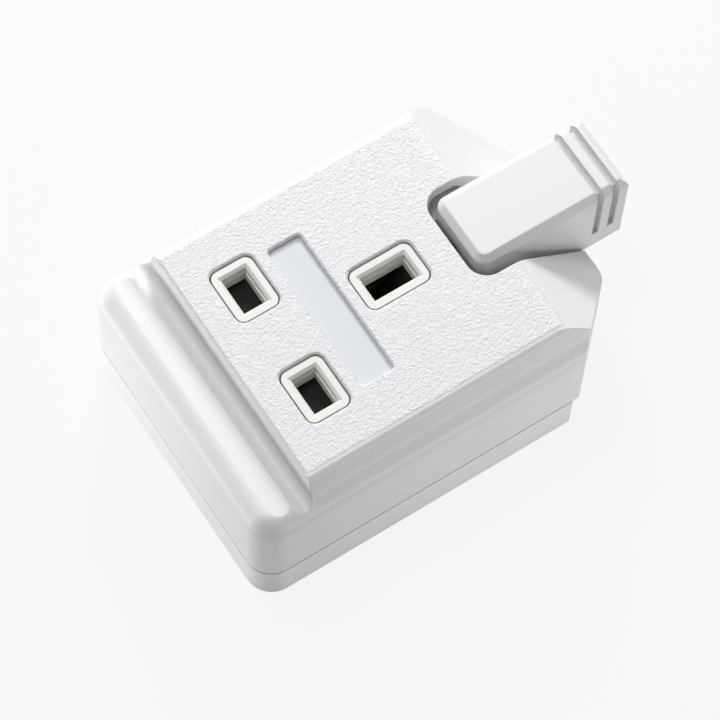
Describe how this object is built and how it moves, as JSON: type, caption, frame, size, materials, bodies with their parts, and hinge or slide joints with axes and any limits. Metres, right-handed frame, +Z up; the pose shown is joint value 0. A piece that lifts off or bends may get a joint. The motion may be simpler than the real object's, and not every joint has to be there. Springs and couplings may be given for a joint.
{
  "type": "trailing socket",
  "caption": "Rewirable trailing socket with a stepped white cover, pin slots behind a sprung shutter and a grooved cord guard.",
  "frame": {"origin": "on the table, below the middle of the overall length", "axes": "+X from the closed end towards the cord, +Y across the body from the line slot to the neutral slot, +Z up from the table to the socket face"},
  "size_m": [0.0882, 0.0568, 0.0336],
  "materials": {
    "cover_plastic": "grained top with smooth sides",
    "base_plastic": "smooth",
    "insert_plastic": "smooth, warm white",
    "guard_plastic": "smooth",
    "dark_plastic": "dull black",
    "grey_plastic": "dull dark grey",
    "contact_brass": "as pressed",
    "screw_steel": "plated",
    "spring_steel": "drawn wire"
  },
  "bodies": {
    "housing": {"top_cover": "cover_plastic", "base_cover": "base_plastic", "socket_insert": "insert_plastic", "cord_guard": "guard_plastic", "cord_clamp": "grey_plastic", "contact_carrier": "grey_plastic", "shutter_spring": "spring_steel", "line_contact": "contact_brass", "line_terminal": "contact_brass", "line_terminal_screw": "screw_steel", "neutral_contact": "contact_brass", "neutral_terminal": "contact_brass", "neutral_terminal_screw": "screw_steel", "earth_contact": "contact_brass", "earth_terminal": "contact_brass", "earth_terminal_screw": "screw_steel", "clamp_screw_1": "screw_steel", "carrier_screw_1": "screw_steel", "clamp_screw_2": "screw_steel", "carrier_screw_2": "screw_steel", "cover_screw_1": "screw_steel", "cover_screw_2": "screw_steel", "cover_screw_3": "screw_steel", "cover_screw_4": "screw_steel"},
    "shutter_slide": {"shutter": "dark_plastic"}
  },
  "joints": [
    {"name": "shutter_travel", "type": "slide", "parent": "housing", "child": "shutter_slide", "axis": [1, 0, 0], "range_m": [0, 0.006], "stiffness_N_per_m": 150, "springref_m": -0.006, "deforming": ["shutter_spring"]}
  ]
}
